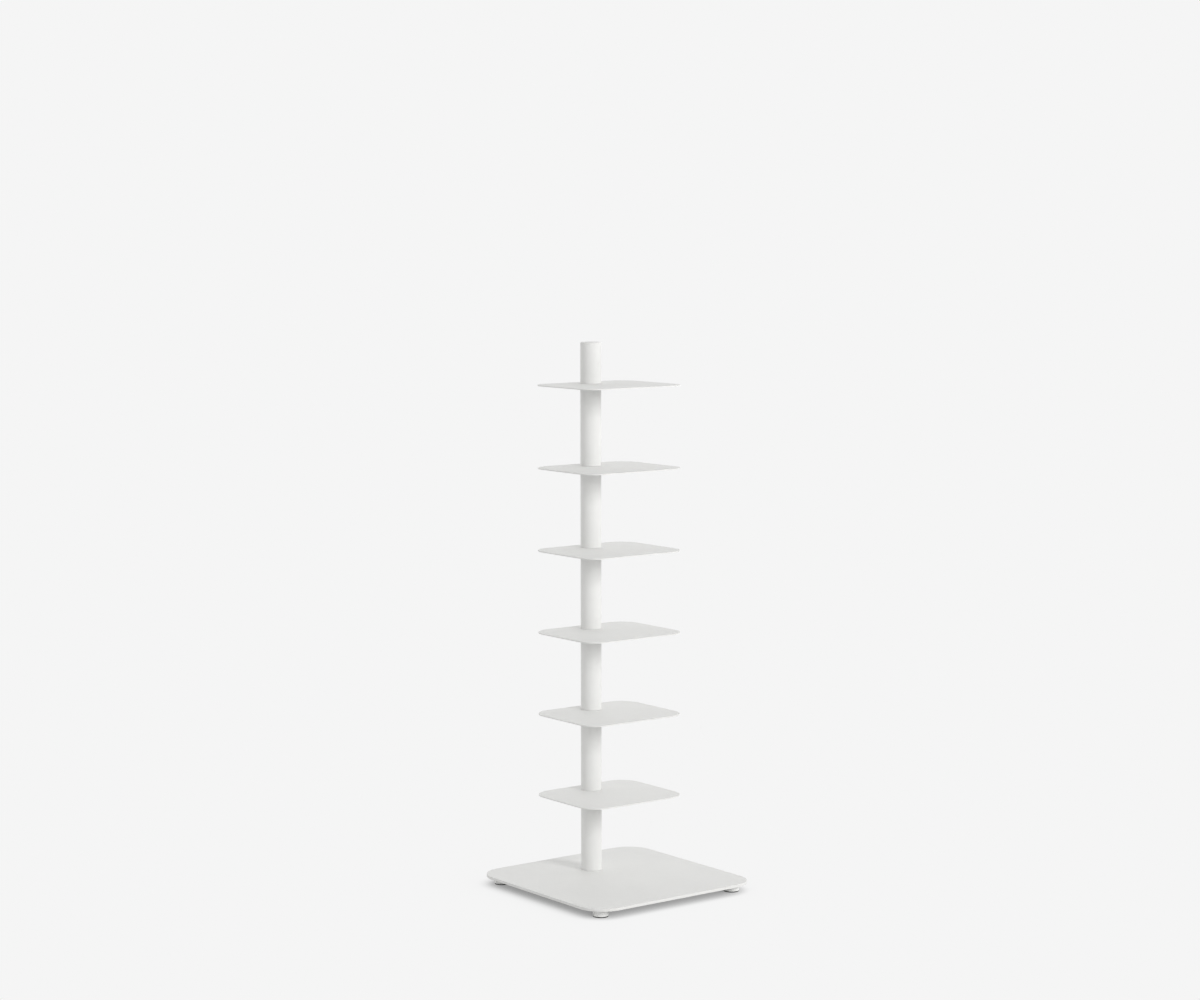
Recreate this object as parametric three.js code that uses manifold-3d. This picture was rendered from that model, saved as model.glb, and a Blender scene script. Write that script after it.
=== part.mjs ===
// Spine bookshelf: a square base plate on four levelling feet, a round post set back from its middle, and
// thin trays threaded on the post. The post is a square inner column with round sleeves dropped over it: each
// sleeve stands on the tray below and carries the tray above, and a bolt under the top cap draws the stack
// together. Millimetres, +Z up. The origin is on the floor under the middle of the base plate, front at -Y.
import * as THREE from "three";
import { mergeVertices } from "three/addons/utils/BufferGeometryUtils.js";
import Module from "manifold-3d";

const wasm = await Module();
wasm.setup();

// Base plate
const baseWidth = 368;
const baseDepth = 368;
const baseThickness = 5;
const baseCornerRadius = 50;
const baseEdgeEase = 0.8;

// Trays, counted from the floor up
const trayCount = 6;
const trayPitch = 150; // from one top face to the next, and from the base plate's to the lowest tray's
const trayWidth = 220;
const trayDepth = 188;
const trayThickness = 2;
const trayCornerRadius = 39;
const trayEdgeEase = 0.4;
const trayBackReach = 39.5; // from the post's axis to a tray's back edge

// Post
const postSetback = 75; // its axis behind the middle of the base plate
const postTopRise = 75; // from the top tray's top face to the post's top
const sleeveDiameter = 38;
const sleeveWall = 2;
const sleeveEdgeEase = 0.4;

// Inner column: the largest square tube that the sleeves' bore takes
const columnWall = 2;
const columnInsideRadius = 0.6;
const columnPlay = 0.35; // from a corner of the column to the bore
const trayHolePlay = 0.3; // round the column in a tray's square hole
const blockPlay = 0.3; // round a block inside the column
const blockEdgeRadius = 1;

// Foot block, welded in the column's lower end and keyed into the base plate, and the bolt that holds it
const footBlockRise = 26; // above the base plate
const footKeyShortfall = 1; // from the key's end to the plate's underside
const footKeyPlay = 0.3;
const baseBoltDiameter = 10;
const baseBoltBite = 20; // thread in the block above the base plate
const baseWasherDiameter = 40;
const baseWasherThickness = 3;

// Head of the post: bearing disc welded in the top sleeve, washer, clamp bolt and head block in the column
const capHeadThickness = 3;
const capEdgeRadius = 2.4;
const capPlugDepth = 9;
const capPlugWall = 2;
const bearingDepth = 16; // from the top sleeve's rim to the bearing disc
const bearingThickness = 5;
const clampGap = 4; // from the bearing disc to the column, for the bolt to draw
const clampBoltDiameter = 8;
const clampWasherDiameter = 20;
const clampWasherThickness = 2;
const headBlockLength = 18;
const boltTipGap = 2; // from the clamp bolt's tip to the head block's lower end

// Button-head bolts, as shares of the thread's diameter; the dome's are of the head's radius and height
const headDiameterShare = 1.75;
const headHeightShare = 0.55;
const socketWidthShare = 0.6;
const socketDepthShare = 0.32;
const threadEaseShare = 0.1;
const domeLandShare = 0.55;
const domeShoulderRadiusShare = 0.88;
const domeShoulderHeightShare = 0.6;
const domeRimShare = 0.15;
const socketSides = 6;
const washerEase = 0.3;

// Levelling feet: a threaded boss welded under the base plate, and a cup on a stud that screws up round it
const footInset = 34.5; // from both edges of the base plate to a foot's axis
const footBossDiameter = 16;
const footBossHeight = 9.2;
const footBossEase = 0.6;
const footBossPlay = 0.5; // round the boss in the cup
const footBossEndGap = 0.6; // from the boss's end to the cup's floor
const footStudDiameter = 8;
const footStudTipGap = 0.4; // from the stud's tip to the base plate
const footFlangeDiameter = 18;
const footFlangeThickness = 2.3;
const footCupDiameter = 28;
const footCupWeb = 1.1; // between the boss's pocket and the flange's recess
const footCupEase = 0.7;
const footSoleDiameter = 27;
const footSoleThickness = 1.5;
const footSoleEase = 0.3;
const footHubDiameter = 10;
const footHubHeight = 1.3;
const footHubEase = 0.2;

// Clearances
const slipGap = 0.3; // round a thread, pin or plug in its hole
const turnGap = 0.3; // between faces that turn on each other
const cutOverrun = 1; // how far a cutter runs past the face it cuts
const weldDistance = 0.001; // corners closer than this are one corner

// Fineness, in steps round a circle or round a quarter of one
const roundSteps = 32;
const smallSteps = 20;
const cornerSteps = 8;
const smallCornerSteps = 3;
const capEdgeSteps = 4;

// Heights, radii and widths that follow
const cupBottom = footSoleThickness + turnGap;
const flangeTop = cupBottom + footFlangeThickness;
const pocketFloor = flangeTop + footCupWeb;
const baseUnderside = pocketFloor + footBossEndGap + footBossHeight;
const baseTop = baseUnderside + baseThickness;
const topTrayTop = baseTop + trayCount * trayPitch;
const postTop = topTrayTop + postTopRise;
const topSleeveRim = postTop - capHeadThickness;
const bearingTop = topSleeveRim - bearingDepth;
const columnTop = bearingTop - bearingThickness - clampGap;
const trayReach = trayDepth / 2 - trayBackReach;
const sleeveRadius = sleeveDiameter / 2;
const boreRadius = sleeveRadius - sleeveWall;
const plugRadius = boreRadius - slipGap;
const columnRadius = columnInsideRadius + columnWall;
const columnWidth = 2 * ((boreRadius - columnPlay - columnRadius) * Math.SQRT1_2 + columnRadius);
const blockWidth = columnWidth - 2 * (columnWall + blockPlay);

// Finishes
const whiteCoat = () => new THREE.MeshStandardMaterial({ color: 0xe2e2e0, roughness: 0.55, metalness: 0 });
const whitePlastic = () => new THREE.MeshStandardMaterial({ color: 0xe6e6e3, roughness: 0.4, metalness: 0 });
const zincSteel = () => new THREE.MeshStandardMaterial({ color: 0xa9abad, roughness: 0.38, metalness: 1 });
const bareSteel = () => new THREE.MeshStandardMaterial({ color: 0x8c8d8e, roughness: 0.5, metalness: 1 });
const blackRubber = () => new THREE.MeshStandardMaterial({ color: 0x202021, roughness: 0.85, metalness: 0 });

const part = new THREE.Group();

// Adds one named piece at x, y, z.
function place(name, geometry, material, x = 0, y = 0, z = 0) {
  const mesh = new THREE.Mesh(geometry, material);
  mesh.name = name;
  mesh.position.set(x, y, z);
  part.add(mesh);
}

// A rectangle about the origin with rounded corners, as a Shape or as a hole's Path.
function roundedRectangle(width, depth, radius, Kind = THREE.Shape) {
  const x = width / 2 - radius;
  const y = depth / 2 - radius;
  const outline = new Kind();
  outline.moveTo(x, -y - radius);
  outline.absarc(x, -y, radius, -Math.PI / 2, 0);
  outline.absarc(x, y, radius, 0, Math.PI / 2);
  outline.absarc(-x, y, radius, Math.PI / 2, Math.PI);
  outline.absarc(-x, -y, radius, Math.PI, (3 * Math.PI) / 2);
  outline.closePath();
  return outline;
}

// A straight prism on z = 0.
function prism(outline, height, curveSegments) {
  return new THREE.ExtrudeGeometry(outline, { depth: height, curveSegments, bevelEnabled: false });
}

// A flat plate on z = 0 whose edges are eased by a small chamfer.
function easedPlate(outline, thickness, ease) {
  const plate = new THREE.ExtrudeGeometry(outline, {
    depth: thickness - 2 * ease,
    curveSegments: cornerSteps,
    bevelThickness: ease,
    bevelSize: ease,
    bevelOffset: -ease,
    bevelSegments: 1,
  });
  return plate.translate(0, 0, ease);
}

// A turned piece: points are [radius, height], from the axis to the axis or closed on themselves.
function turned(points, steps) {
  const profile = points.map(([radius, height]) => new THREE.Vector2(radius, height));
  return new THREE.LatheGeometry(profile, steps).rotateX(Math.PI / 2);
}

// A ring on z = 0 with its two outer edges eased.
function ring(outerRadius, innerRadius, height, ease, steps) {
  const points = [
    [innerRadius, 0],
    [outerRadius - ease, 0],
    [outerRadius, ease],
    [outerRadius, height - ease],
    [outerRadius - ease, height],
    [innerRadius, height],
    [innerRadius, 0],
  ];
  return turned(points, steps);
}

// three.js geometry as a solid that can be cut.
function solid(geometry) {
  const bare = geometry.clone();
  bare.deleteAttribute("normal");
  bare.deleteAttribute("uv");
  const merged = mergeVertices(bare, weldDistance);
  const mesh = new wasm.Mesh({
    numProp: 3,
    vertProperties: Float32Array.from(merged.attributes.position.array),
    triVerts: Uint32Array.from(merged.index.array),
  });
  return new wasm.Manifold(mesh);
}

// A cut solid as three.js geometry.
function geometryOf(shape) {
  const mesh = shape.getMesh();
  const geometry = new THREE.BufferGeometry();
  geometry.setAttribute("position", new THREE.BufferAttribute(mesh.vertProperties, 3));
  geometry.setIndex(new THREE.BufferAttribute(mesh.triVerts, 1));
  const faceted = geometry.toNonIndexed();
  faceted.computeVertexNormals();
  return faceted;
}

// A button-head bolt along Z: its head's seat is at z = 0, its thread runs up and its head hangs below.
function buttonBolt(diameter, length) {
  const radius = diameter / 2;
  const headRadius = radius * headDiameterShare;
  const headHeight = diameter * headHeightShare;
  const ease = diameter * threadEaseShare;
  const body = turned(
    [
      [0, -headHeight],
      [headRadius * domeLandShare, -headHeight],
      [headRadius * domeShoulderRadiusShare, -headHeight * domeShoulderHeightShare],
      [headRadius, -headHeight * domeRimShare],
      [headRadius, 0],
      [radius, 0],
      [radius, length - ease],
      [radius - ease, length],
      [0, length],
    ],
    smallSteps,
  );
  const depth = diameter * socketDepthShare;
  const cornerRadius = (diameter * socketWidthShare) / 2 / Math.cos(Math.PI / socketSides);
  const socket = new THREE.CylinderGeometry(cornerRadius, cornerRadius, depth + cutOverrun, socketSides);
  socket.rotateX(Math.PI / 2);
  socket.translate(0, 0, (depth - cutOverrun) / 2 - headHeight);
  return geometryOf(solid(body).subtract(solid(socket)));
}

// A square block on z = 0, bored for a thread.
function boredBlock(length, threadDiameter) {
  const block = prism(roundedRectangle(blockWidth, blockWidth, blockEdgeRadius), length, smallCornerSteps);
  const boreLength = length + 2 * cutOverrun;
  const boreSize = threadDiameter / 2 + slipGap;
  const bore = new THREE.CylinderGeometry(boreSize, boreSize, boreLength, smallSteps);
  bore.rotateX(Math.PI / 2);
  bore.translate(0, 0, length / 2);
  return geometryOf(solid(block).subtract(solid(bore)));
}

// Base plate, with the square hole that the foot block keys into, and what bolts the post to it
function makeBase() {
  const outline = roundedRectangle(baseWidth, baseDepth, baseCornerRadius);
  const plate = easedPlate(outline, baseThickness, baseEdgeEase);
  const keyWidth = blockWidth + 2 * footKeyPlay;
  const keyOutline = roundedRectangle(keyWidth, keyWidth, blockEdgeRadius);
  const keyway = prism(keyOutline, baseThickness + 2 * cutOverrun, smallCornerSteps);
  keyway.translate(0, postSetback, -cutOverrun);
  place("base_plate", geometryOf(solid(plate).subtract(solid(keyway))), whiteCoat(), 0, 0, baseUnderside);

  const washerHole = baseBoltDiameter / 2 + slipGap;
  const washer = ring(baseWasherDiameter / 2, washerHole, baseWasherThickness, washerEase, roundSteps);
  const washerZ = baseUnderside - baseWasherThickness;
  place("base_washer", washer, zincSteel(), 0, postSetback, washerZ);
  const boltLength = baseWasherThickness + baseThickness + baseBoltBite;
  place("base_bolt", buttonBolt(baseBoltDiameter, boltLength), zincSteel(), 0, postSetback, washerZ);
}

// The boss welded under the base plate
function footBoss() {
  const bore = footStudDiameter / 2 + slipGap;
  return ring(footBossDiameter / 2, bore, footBossHeight, footBossEase, smallSteps);
}

// The cup: a pocket for the boss above, a recess for the stud's flange below and a hole between them
function footCup() {
  const radius = footCupDiameter / 2;
  const hole = footStudDiameter / 2 + slipGap;
  const recess = footFlangeDiameter / 2 + slipGap;
  const pocket = footBossDiameter / 2 + footBossPlay;
  const height = baseUnderside - turnGap - cupBottom;
  const recessDepth = footFlangeThickness;
  const pocketHeight = recessDepth + footCupWeb;
  const points = [
    [recess, 0],
    [radius - footCupEase, 0],
    [radius, footCupEase],
    [radius, height - footCupEase],
    [radius - footCupEase, height],
    [pocket, height],
    [pocket, pocketHeight],
    [hole, pocketHeight],
    [hole, recessDepth],
    [recess, recessDepth],
    [recess, 0],
  ];
  return turned(points, smallSteps);
}

// The stud on its flange, which has a round recess below for the sole's hub
function footStud() {
  const radius = footStudDiameter / 2;
  const flange = footFlangeDiameter / 2;
  const recess = footHubDiameter / 2 + slipGap;
  const length = baseUnderside - footStudTipGap - cupBottom;
  const ease = footStudDiameter * threadEaseShare;
  const points = [
    [0, footHubHeight],
    [recess, footHubHeight],
    [recess, 0],
    [flange, 0],
    [flange, footFlangeThickness],
    [radius, footFlangeThickness],
    [radius, length - ease],
    [radius - ease, length],
    [0, length],
  ];
  return turned(points, smallSteps);
}

// The sole that stands on the floor, with the hub that it turns on
function footSole() {
  const radius = footSoleDiameter / 2;
  const hub = footHubDiameter / 2;
  const hubTop = footSoleThickness + footHubHeight;
  const points = [
    [0, 0],
    [radius - footSoleEase, 0],
    [radius, footSoleEase],
    [radius, footSoleThickness - footSoleEase],
    [radius - footSoleEase, footSoleThickness],
    [hub, footSoleThickness],
    [hub, hubTop - footHubEase],
    [hub - footHubEase, hubTop],
    [0, hubTop],
  ];
  return turned(points, smallSteps);
}

function makeFoot(corner, x, y) {
  place("foot_boss_" + corner, footBoss(), whiteCoat(), x, y, baseUnderside - footBossHeight);
  place("foot_cup_" + corner, footCup(), whitePlastic(), x, y, cupBottom);
  place("foot_stud_" + corner, footStud(), zincSteel(), x, y, cupBottom);
  place("foot_sole_" + corner, footSole(), blackRubber(), x, y);
}

function makeFeet() {
  const x = baseWidth / 2 - footInset;
  const y = baseDepth / 2 - footInset;
  makeFoot("front_left", -x, -y);
  makeFoot("front_right", x, -y);
  makeFoot("back_left", -x, y);
  makeFoot("back_right", x, y);
}

// Inner column with a block in each end
function makeColumn() {
  const innerWidth = columnWidth - 2 * columnWall;
  const outline = roundedRectangle(columnWidth, columnWidth, columnRadius);
  outline.holes.push(roundedRectangle(innerWidth, innerWidth, columnInsideRadius, THREE.Path));
  const tube = prism(outline, columnTop - baseTop, smallCornerSteps);
  place("column_tube", tube, bareSteel(), 0, postSetback, baseTop);

  const keyDepth = baseThickness - footKeyShortfall;
  const footBlock = boredBlock(keyDepth + footBlockRise, baseBoltDiameter);
  place("column_foot_block", footBlock, bareSteel(), 0, postSetback, baseTop - keyDepth);
  const headBlock = boredBlock(headBlockLength, clampBoltDiameter);
  place("column_head_block", headBlock, bareSteel(), 0, postSetback, columnTop - headBlockLength);
}

function sleeve(length) {
  return ring(sleeveRadius, boreRadius, length, sleeveEdgeEase, roundSteps);
}

// Trays and the sleeves under them, from the base plate up
function makeStack() {
  const outline = roundedRectangle(trayWidth, trayDepth, trayCornerRadius);
  const plate = easedPlate(outline, trayThickness, trayEdgeEase);
  const holeWidth = columnWidth + 2 * trayHolePlay;
  const holeOutline = roundedRectangle(holeWidth, holeWidth, columnRadius + trayHolePlay);
  const hole = prism(holeOutline, trayThickness + 2 * cutOverrun, smallCornerSteps);
  hole.translate(0, trayReach, -cutOverrun);
  const tray = geometryOf(solid(plate).subtract(solid(hole)));
  const sleeveLength = trayPitch - trayThickness;
  const trayY = postSetback - trayReach;
  for (let level = 1; level <= trayCount; level++) {
    const top = baseTop + level * trayPitch;
    place("post_sleeve_" + level, sleeve(sleeveLength), whiteCoat(), 0, postSetback, top - trayPitch);
    place("tray_" + level, tray.clone(), whiteCoat(), 0, trayY, top - trayThickness);
  }
  place("post_sleeve_top", sleeve(topSleeveRim - topTrayTop), whiteCoat(), 0, postSetback, topTrayTop);
}

// What draws the stack together under the cap
function makeClamp() {
  const hole = clampBoltDiameter / 2 + slipGap;
  const bearing = ring(plugRadius, hole, bearingThickness, washerEase, roundSteps);
  place("bearing_disc", bearing, bareSteel(), 0, postSetback, bearingTop - bearingThickness);
  const washer = ring(clampWasherDiameter / 2, hole, clampWasherThickness, washerEase, smallSteps);
  place("clamp_washer", washer, zincSteel(), 0, postSetback, bearingTop);
  const length = clampWasherThickness + bearingThickness + clampGap + headBlockLength - boltTipGap;
  const bolt = buttonBolt(clampBoltDiameter, length);
  bolt.rotateX(Math.PI);
  place("clamp_bolt", bolt, zincSteel(), 0, postSetback, bearingTop + clampWasherThickness);
}

// The cap, with a hollow plug below and a rounded edge above
function makeCap() {
  const edge = [];
  for (let step = 0; step <= capEdgeSteps; step++) {
    const turn = (step / capEdgeSteps) * (Math.PI / 2);
    const radius = sleeveRadius - capEdgeRadius * (1 - Math.cos(turn));
    edge.push([radius, capHeadThickness - capEdgeRadius * (1 - Math.sin(turn))]);
  }
  const points = [
    [0, 0],
    [plugRadius - capPlugWall, 0],
    [plugRadius - capPlugWall, -capPlugDepth],
    [plugRadius, -capPlugDepth],
    [plugRadius, 0],
    [sleeveRadius, 0],
    ...edge,
    [0, capHeadThickness],
  ];
  place("top_cap", turned(points, roundSteps), whiteCoat(), 0, postSetback, topSleeveRim);
}

makeBase();
makeFeet();
makeColumn();
makeStack();
makeClamp();
makeCap();

export default part;
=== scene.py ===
"""Spine bookshelf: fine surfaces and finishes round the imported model, and the stage it stands on."""

import math

import bmesh
import bpy
import numpy as np
from bpy.props import FloatProperty, FloatVectorProperty, IntProperty, PointerProperty
from mathutils import Euler, Matrix, Vector


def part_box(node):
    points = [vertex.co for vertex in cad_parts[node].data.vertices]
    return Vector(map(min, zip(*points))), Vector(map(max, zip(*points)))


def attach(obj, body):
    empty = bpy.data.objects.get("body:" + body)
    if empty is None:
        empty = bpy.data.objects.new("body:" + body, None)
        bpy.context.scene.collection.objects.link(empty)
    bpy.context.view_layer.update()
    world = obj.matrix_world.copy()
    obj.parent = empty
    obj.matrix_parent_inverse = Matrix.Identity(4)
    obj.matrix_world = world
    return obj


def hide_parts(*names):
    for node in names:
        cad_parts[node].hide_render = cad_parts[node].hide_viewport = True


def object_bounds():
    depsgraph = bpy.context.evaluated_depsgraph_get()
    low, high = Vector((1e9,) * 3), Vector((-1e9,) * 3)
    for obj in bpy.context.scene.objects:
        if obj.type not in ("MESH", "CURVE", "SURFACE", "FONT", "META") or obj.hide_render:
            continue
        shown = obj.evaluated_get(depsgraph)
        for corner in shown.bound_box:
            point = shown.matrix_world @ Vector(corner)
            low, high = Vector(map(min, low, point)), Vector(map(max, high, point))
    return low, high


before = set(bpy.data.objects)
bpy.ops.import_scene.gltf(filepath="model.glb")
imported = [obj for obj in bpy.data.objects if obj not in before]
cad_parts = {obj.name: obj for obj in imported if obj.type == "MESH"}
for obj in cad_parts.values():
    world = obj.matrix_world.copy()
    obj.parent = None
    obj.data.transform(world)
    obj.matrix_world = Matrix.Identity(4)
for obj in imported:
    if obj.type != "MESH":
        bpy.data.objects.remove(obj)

CAD_BOX = [list(corner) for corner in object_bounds()]

bl_info = {
    "name": "Spine Bookshelf",
    "version": (1, 0, 0),
    "blender": (4, 5, 0),
    "location": "View3D > Sidebar > Bookshelf",
    "description": "Builds a white spine bookshelf round its packed model and sets it on a pale stage",
    "category": "Add Mesh",
}

MM = 0.001
CORNERS = ("front_left", "front_right", "back_left", "back_right")
TRAY_COUNT = 6
SUPPORT = 0.25 * MM  # from the end of a rounded edge to the loop that keeps the flat beside it flat
MERGE_DISTANCE = 1e-7  # metres; points nearer than this are one
DISSOLVE_DISTANCE = 1e-8  # metres; edges shorter than this go
HEIGHT_STEP = 1e-6  # metres; heights nearer than this are equal
SLIP = 0.3 * MM  # gap round a thread or a pin in its hole
KEY_CORNER = 1 * MM  # radius of a square hole's corners
EDGE_POINTS = 7  # on a quarter turn of a plate's rounded edge

# Metric coarse threads
M8_PITCH = 1.25 * MM
M10_PITCH = 1.5 * MM
THREAD_DEPTH_SHARE = 0.54  # of the pitch
THREAD_ROWS = 8  # rows of points in a turn of a thread

# Button heads, as shares of the thread's diameter where nothing else is said
HEAD_WIDTH_SHARE = 1.75
HEAD_HEIGHT_SHARE = 0.55
SOCKET_DEPTH_SHARE = 0.32
SOCKET_REACH_SHARE = 0.3  # from the axis to the middle of a flat
SOCKET_FLOOR_SHARE = 0.7  # of the socket's reach
SOCKET_RIM_SHARE = 1.2  # of the socket's reach
DOME_SHARE = 0.85  # of the head's height
DOME_POINTS = 8  # with the one at the socket's rim

FLOOR_REACH = 12  # metres each way from the middle
FLOOR_GREY = 0.76  # what it gives back of the light on it
FLOOR_ROUGHNESS = 0.9
FLOOR_SAMPLES = 24
# How light the floor shows, by the part of the sky over it that the object leaves open
FLOOR_SHADE = ((0, 0.2), (0.1, 0.36), (0.2, 0.54), (0.35, 0.7), (0.57, 0.865), (0.8, 0.985), (1, 1))

# Where the sky has its low, middle and high strength, as heights on a dome of radius 1. They are 0, 20 and 58
# degrees up
SKY_HEIGHTS = (0, 0.34, 0.85)
SKY_BLEND = 0.25  # how far the front sky and the back one run into each other, on the same dome
SENSOR_WIDTH = 36  # millimetres
CAMERA_SIGHT = 100  # metres


def node_size(name):
    """The lengths of a node's box along x, y and z."""
    low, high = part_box(name)
    return [high[axis] - low[axis] for axis in range(3)]


SLEEVE_SIZE = node_size("post_sleeve_1")
CUP_SIZE = node_size("foot_cup_front_left")
SOLE_SIZE = node_size("foot_sole_front_left")
BOSS_SIZE = node_size("foot_boss_front_left")


# Sizes and colours


def length(name, description, default):
    """A length in metres that the sidebar shows."""
    return FloatProperty(
        name=name, description=description, default=default, min=0, precision=5,
        subtype="DISTANCE", unit="LENGTH",
    )


def colour(name, description, default):
    """A colour, given as linear red, green and blue."""
    return FloatVectorProperty(
        name=name, description=description, default=default, min=0, max=1, size=3, subtype="COLOR"
    )


def sky_strength(name, description, default):
    """The strength of a part of the sky."""
    return FloatProperty(name=name, description=description, default=default, min=0)


def rotation(name, description, default):
    """An angle, given in radians and shown in degrees."""
    return FloatProperty(
        name=name, description=description, default=default, subtype="ANGLE", unit="ROTATION"
    )


class PlateSettings(bpy.types.PropertyGroup):
    """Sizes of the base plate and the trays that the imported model's boxes don't give"""

    base_corner: length("Base corner", "Radius of the base plate's corners, seen from above", 50 * MM)
    base_edge: length("Base edge", "Radius of the base plate's rounded edges", 0.6 * MM)
    tray_corner: length("Tray corner", "Radius of a tray's corners, seen from above", 39 * MM)
    tray_edge: length("Tray edge", "Radius of a tray's rounded edges", 0.2 * MM)
    base_hole: length("Base keyway", "Width of the square hole under the post", 21.1 * MM)
    tray_hole: length("Tray hole", "Width of a tray's square hole", 25.7 * MM)


class PostSettings(bpy.types.PropertyGroup):
    """Sizes of the sleeves and the cap"""

    wall: length("Wall", "Wall thickness of the sleeves", 2 * MM)
    seam: length("Seam ease", "Radius of a sleeve's outer end edges", 0.35 * MM)
    cap_edge: length("Cap edge", "Radius of the cap's rounded edge", 2.4 * MM)
    cap_head: length("Cap head", "Height of the cap that shows", 3 * MM)
    cap_wall: length("Cap wall", "Wall thickness of the cap's plug", 2 * MM)
    play: length("Play", "Gap between the cap's plug and the sleeve's bore", SLIP)


class FootSettings(bpy.types.PropertyGroup):
    """Sizes of a levelling foot's pieces"""

    cup_edge: length("Cup edge", "Radius of the cup's rounded upper edge", 0.9 * MM)
    cup_foot: length("Cup foot", "Radius of the cup's rounded lower edge", 0.5 * MM)
    pocket: length("Pocket", "Diameter of the cup's pocket for the boss", 17 * MM)
    web: length("Web", "Thickness of the cup between pocket and recess", 1.1 * MM)
    flange: length("Flange", "Diameter of the stud's flange", 18 * MM)
    flange_height: length("Flange height", "Thickness of the stud's flange", 2.3 * MM)
    hub: length("Hub", "Diameter of the sole's hub", 10 * MM)
    hub_height: length("Hub height", "Rise of the hub above the sole", 1.3 * MM)
    stud: length("Stud", "Diameter of the stud's thread", 8 * MM)
    pitch: length("Pitch", "Pitch of the stud's thread", M8_PITCH)
    groove: length("Groove", "Depth of the sole's grooves", 0.5 * MM)
    groove_count: IntProperty(
        name="Grooves", description="Rings of grip under the sole", default=3, min=0, max=6
    )


class FinishSettings(bpy.types.PropertyGroup):
    """Colours of the finishes"""

    coat: colour("Coat", "Powder coat of the plates and the post", (0.735, 0.735, 0.722))
    plastic: colour("Plastic", "Moulded plastic of the cups", (0.83, 0.83, 0.815))
    zinc: colour("Zinc", "Plated bolts and washers", (0.52, 0.53, 0.54))
    steel: colour("Steel", "Plain steel inside the post", (0.36, 0.36, 0.365))
    rubber: colour("Rubber", "Soles of the feet", (0.018, 0.018, 0.019))
    peel: length("Orange peel", "Size of the coat's fine unevenness", 1.1 * MM)


class StageSettings(bpy.types.PropertyGroup):
    """The background, the sky's light, the lamp and the camera"""

    background: colour("Background", "Colour that the camera sees round the object", (0.9131, 0.9131, 0.9131))
    front_low: sky_strength("Front, low", "Light from the horizon on the camera's side", 0.84)
    front_middle: sky_strength("Front, middle", "Light from 20 degrees up, on the camera's side", 0.87)
    back_low: sky_strength("Back, low", "Light from the horizon behind the object", 0.44)
    back_middle: sky_strength("Back, middle", "Light from 20 degrees up, behind the object", 2.07)
    overhead: sky_strength("Overhead", "Light from overhead", 0.43)
    lamp_power: FloatProperty(
        name="Lamp power", description="Power of the large soft lamp", default=114, min=0,
        subtype="POWER", unit="POWER",
    )
    lamp_width: length("Lamp width", "Width and height of the soft lamp", 1.5)
    lamp_height: length("Lamp height", "Height of the soft lamp's middle", 2.17)
    lamp_distance: length("Lamp distance", "Distance of the soft lamp from the post, level", 4.65)
    lamp_bearing: rotation(
        "Lamp bearing", "From the camera's side to the lamp's, seen from above", math.radians(47.3)
    )
    shade_reach: length("Shade reach", "How near a part of the object shades the floor", 0.2)
    shade_tilt: FloatProperty(
        name="Shade tilt", description="Lean of the floor's light to the lamp, as run over rise", default=0.33
    )
    bearing: rotation("Camera bearing", "Turn of the camera's view from straight at the front", 0.6506)
    pitch: rotation("Camera pitch", "How far the camera looks down", 0.1046)
    roll: rotation("Camera roll", "Turn of the camera about its own axis", -0.0011)
    distance: length("Camera distance", "From the post to the camera, level", 5.0136)
    height: length("Camera height", "Camera above the base plate's top", 1.2128)
    offset: length("Camera offset", "Camera to the right of the post", 0.0166)
    lens: FloatProperty(
        name="Lens", description="Focal length for a 36 mm wide picture", default=82.83,
        subtype="DISTANCE_CAMERA",
    )


class BookshelfSettings(bpy.types.PropertyGroup):
    """All the sizes, colours and lights that the sidebar shows"""

    plates: PointerProperty(type=PlateSettings)
    post: PointerProperty(type=PostSettings)
    feet: PointerProperty(type=FootSettings)
    finishes: PointerProperty(type=FinishSettings)
    stage: PointerProperty(type=StageSettings)


# Surfaces


def mesh_from_grid(name, points, edge):
    """A closed surface from a grid of points, where i counts along its section and j round it.
    Quad (i, j) has the grid points (i, j), (i, j + 1), (i + 1, j + 1) and (i + 1, j), and both directions
    wrap round. Points that coincide, as at a pole, are merged. edge, a number for each i, is stored for the
    finish."""
    rows, columns = points.shape[:2]
    i, j = np.meshgrid(np.arange(rows), np.arange(columns), indexing="ij")
    below, right = (i + 1) % rows, (j + 1) % columns
    around = [i * columns + j, i * columns + right, below * columns + right, below * columns + j]
    quads = np.stack(around, axis=-1).reshape(-1, 4)
    mesh = bpy.data.meshes.new(name)
    mesh.vertices.add(rows * columns)
    mesh.vertices.foreach_set("co", points.astype(np.float32).ravel())
    mesh.loops.add(quads.size)
    mesh.loops.foreach_set("vertex_index", quads.astype(np.int32).ravel())
    mesh.polygons.add(len(quads))
    mesh.polygons.foreach_set("loop_start", np.arange(0, quads.size, 4, dtype=np.int32))
    mesh.update(calc_edges=True)
    weights = np.broadcast_to(np.asarray(edge, float).reshape(rows, -1), (rows, columns))
    attribute = mesh.attributes.new("edge", "FLOAT", "POINT")
    attribute.data.foreach_set("value", weights.astype(np.float32).ravel())
    shape = bmesh.new()
    shape.from_mesh(mesh)
    bmesh.ops.remove_doubles(shape, verts=shape.verts, dist=MERGE_DISTANCE)
    bmesh.ops.dissolve_degenerate(shape, edges=shape.edges, dist=DISSOLVE_DISTANCE)
    bmesh.ops.recalc_face_normals(shape, faces=shape.faces)
    shape.to_mesh(mesh)
    shape.free()
    mesh.polygons.foreach_set("use_smooth", np.ones(len(mesh.polygons), bool))
    mesh.validate()
    mesh.update()
    return mesh


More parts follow.
